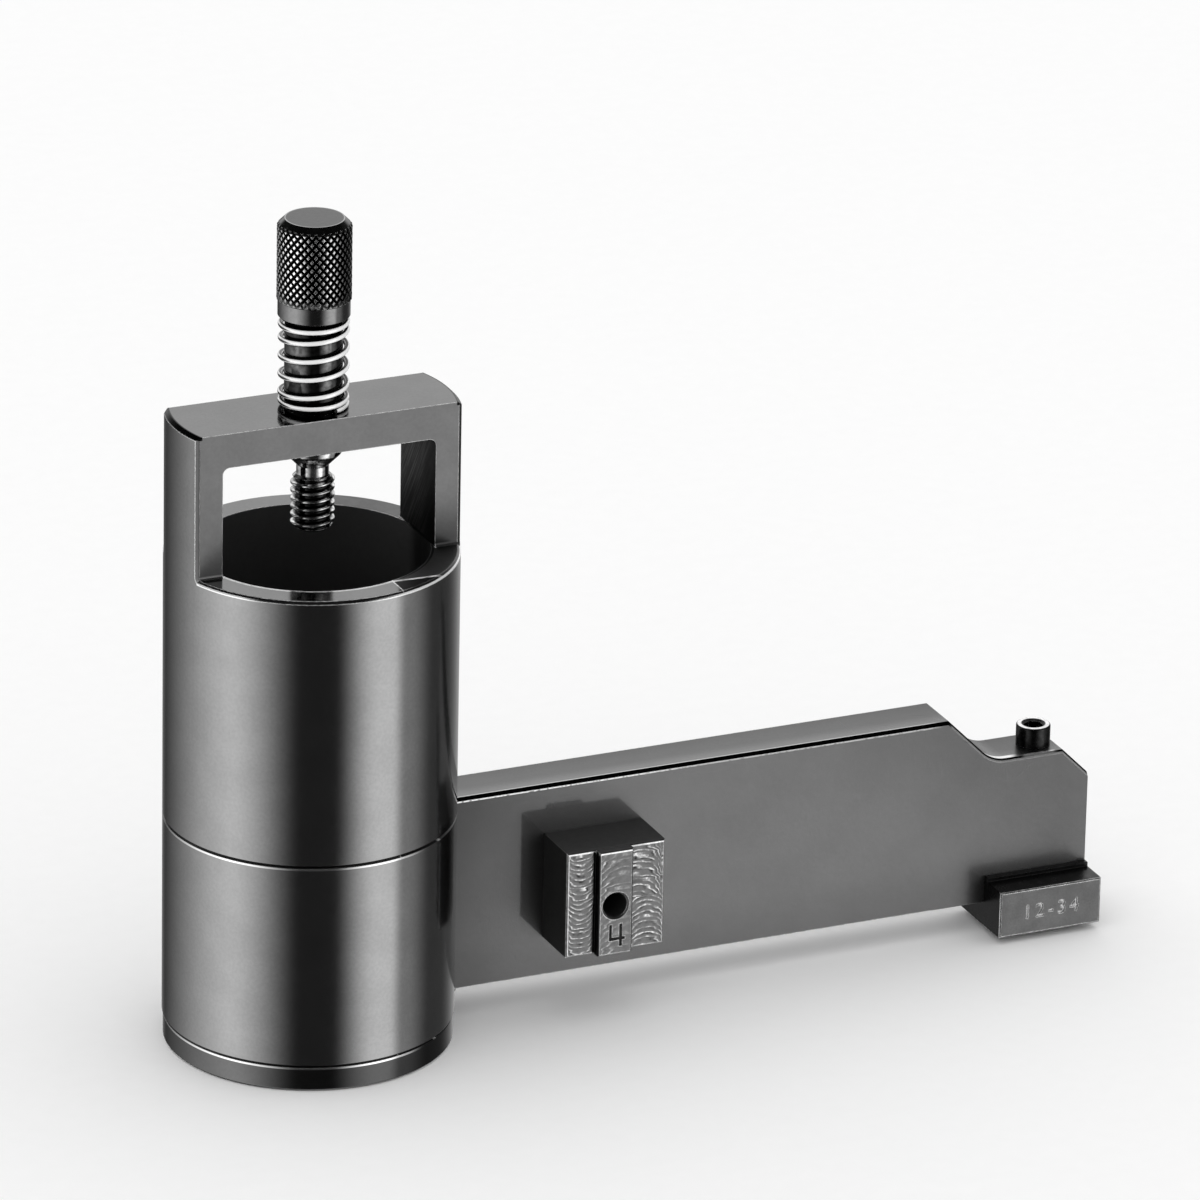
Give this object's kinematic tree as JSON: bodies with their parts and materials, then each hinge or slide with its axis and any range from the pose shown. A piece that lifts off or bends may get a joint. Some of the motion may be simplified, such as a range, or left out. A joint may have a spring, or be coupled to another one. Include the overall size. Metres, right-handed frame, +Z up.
{
  "type": "balancer shaft alignment tool",
  "caption": "Steel barrel with a bridge and a spring-loaded knurled screw on top, and a side arm that carries a gauge block and an end block.",
  "frame": {"origin": "where the barrel's axis meets the bottom face of the base ring", "axes": "+Z up along the barrel's axis, +X along the arm away from the barrel, -Y towards the side that the gauge block faces"},
  "size_m": [0.2171, 0.0636, 0.1878],
  "materials": {
    "black_steel": "satin",
    "knob_steel": "satin",
    "spring_steel": "polished",
    "gauge_steel": "satin",
    "dowel_steel": "ground"
  },
  "bodies": {
    "body": {"upper_body": "black_steel", "arm_collar": "black_steel", "base_ring": "black_steel", "seam_dowels": "dowel_steel", "spring": "spring_steel", "arm": "black_steel", "arm_weld": "black_steel", "gauge_block": "gauge_steel", "gauge_block_screws": "knob_steel", "gauge_block_dowels": "dowel_steel", "end_block": "gauge_steel", "end_block_screw": "knob_steel"},
    "plunger": {"retaining_ring": "knob_steel"},
    "screw": {"plunger_screw": "knob_steel"}
  },
  "joints": [
    {"name": "plunge", "type": "slide", "parent": "body", "child": "plunger", "axis": [0, 0, 1], "range_m": [-0.011, 0], "stiffness_N_per_m": 1500, "springref_m": 0.006, "deforming": ["spring"]},
    {"name": "screw_turn", "type": "hinge", "parent": "plunger", "child": "screw", "pos_m": [0, 0, 0.124], "axis": [0, 0, 1], "continuous": true}
  ]
}
